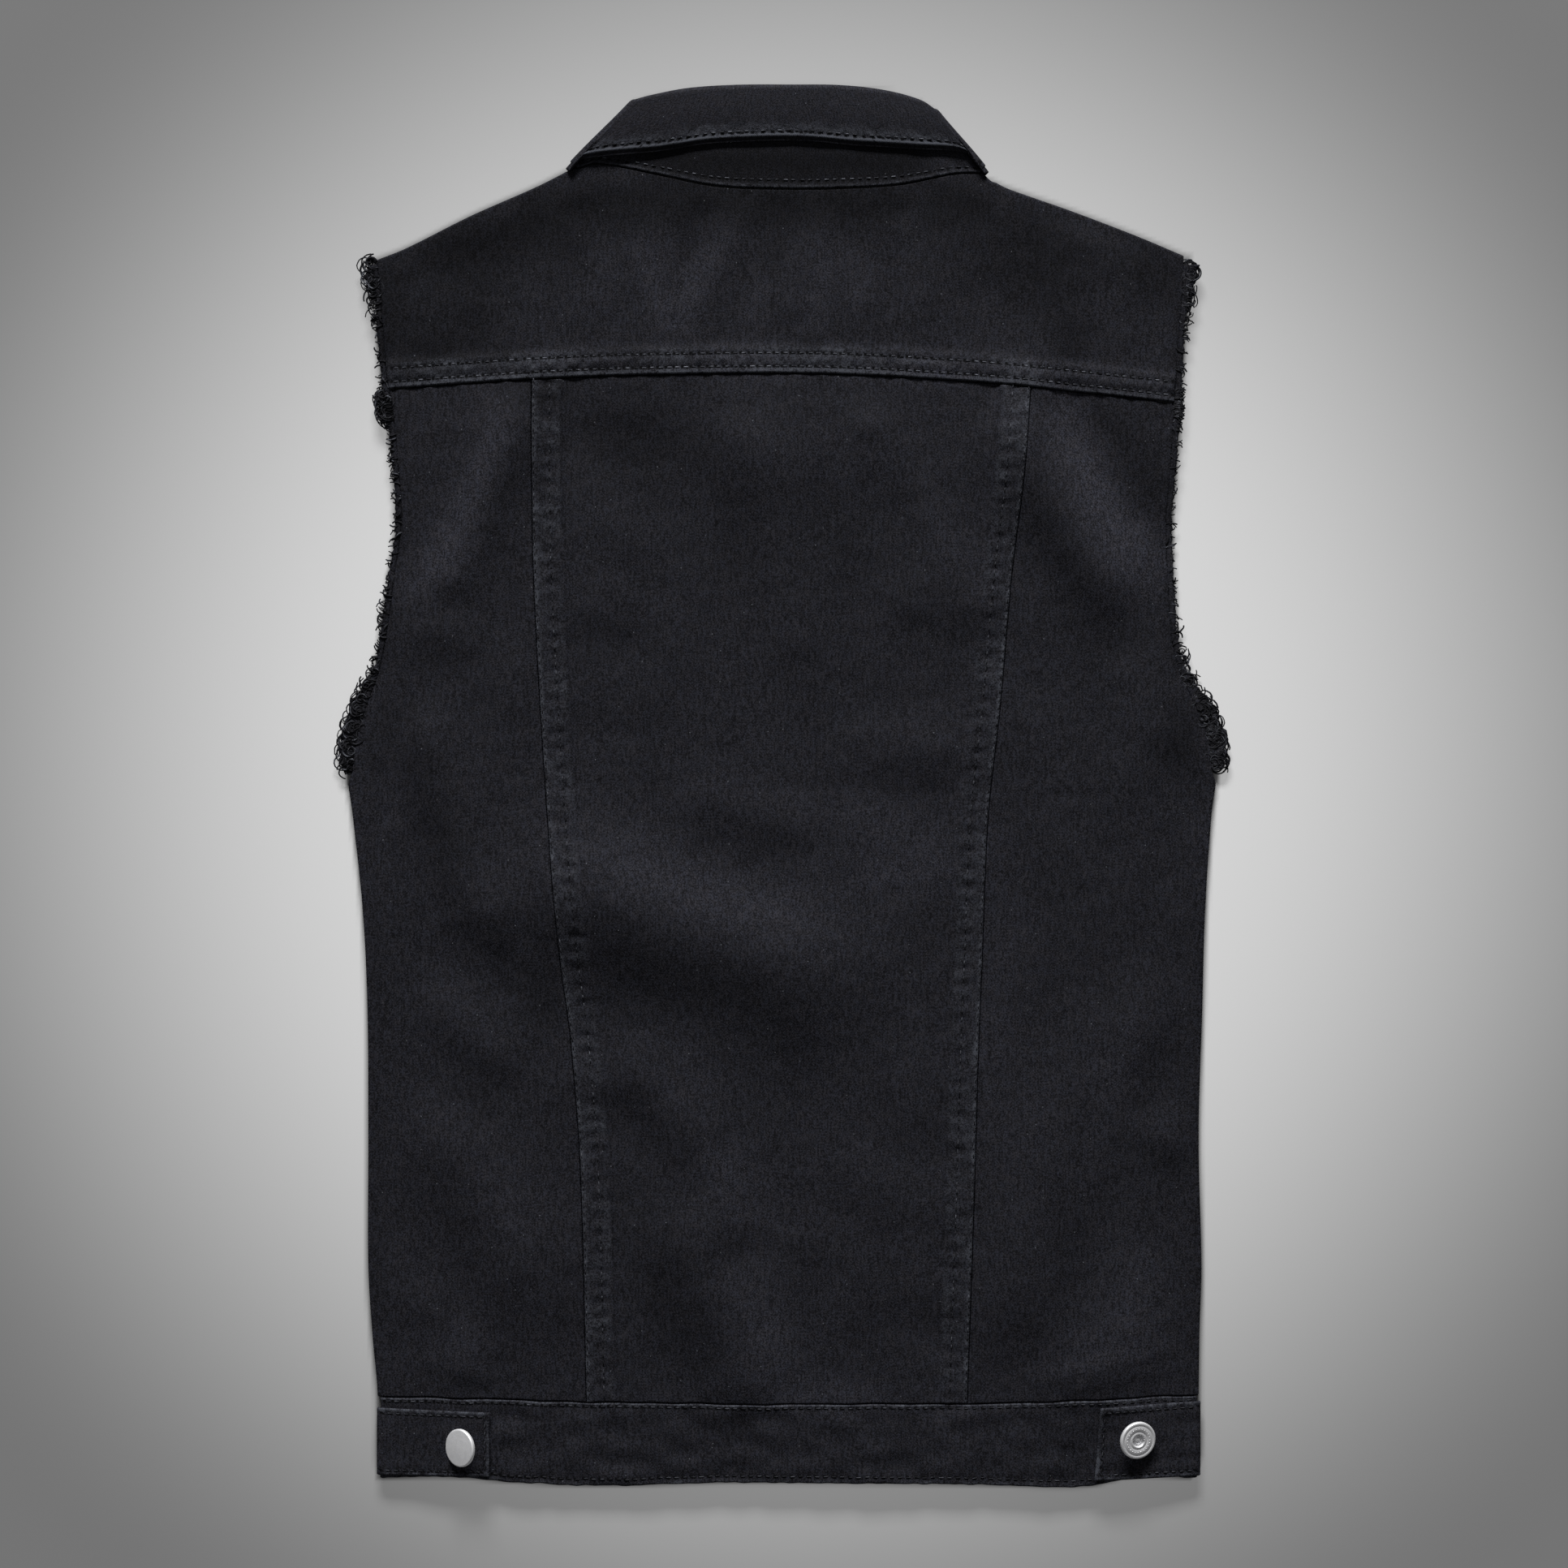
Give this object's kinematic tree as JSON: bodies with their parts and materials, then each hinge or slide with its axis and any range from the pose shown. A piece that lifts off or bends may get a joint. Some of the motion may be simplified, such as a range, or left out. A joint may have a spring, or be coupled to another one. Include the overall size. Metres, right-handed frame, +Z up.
{
  "type": "denim vest",
  "caption": "Sleeveless black denim vest laid flat on its front, with a collar, back yoke, waistband, waist tabs, metal buttons and frayed armholes.",
  "frame": {"origin": "on the surface it lies on, under the middle of its bounding box", "axes": "+X to the right across the back as seen from above, +Y from the hem to the collar, +Z up, out of the back"},
  "size_m": [0.4766, 0.7431, 0.0199],
  "materials": {
    "black_denim": "washed black cotton twill, matt, a little worn along its seams",
    "cotton_thread": "black cotton yarn and sewing thread, matt",
    "button_metal": "pale silver plated steel, softly polished"
  },
  "bodies": {
    "root": {"back_yoke": "black_denim", "back_centre": "black_denim", "waistband_back": "black_denim", "collar_stand": "black_denim", "collar_leaf": "black_denim", "back_side_left": "black_denim", "front_left": "black_denim", "placket_left": "black_denim", "waistband_front_left": "black_denim", "waist_tab_left": "black_denim", "button_tab_left": "button_metal", "fray_back_left": "cotton_thread", "fray_front_left": "cotton_thread", "back_side_right": "black_denim", "front_right": "black_denim", "placket_right": "black_denim", "waistband_front_right": "black_denim", "waist_tab_right": "black_denim", "button_tab_right": "button_metal", "fray_back_right": "cotton_thread", "fray_front_right": "cotton_thread", "button_front_1": "button_metal", "button_front_2": "button_metal", "button_front_3": "button_metal", "button_front_4": "button_metal", "button_front_5": "button_metal", "button_front_6": "button_metal"}
  },
  "joints": []
}
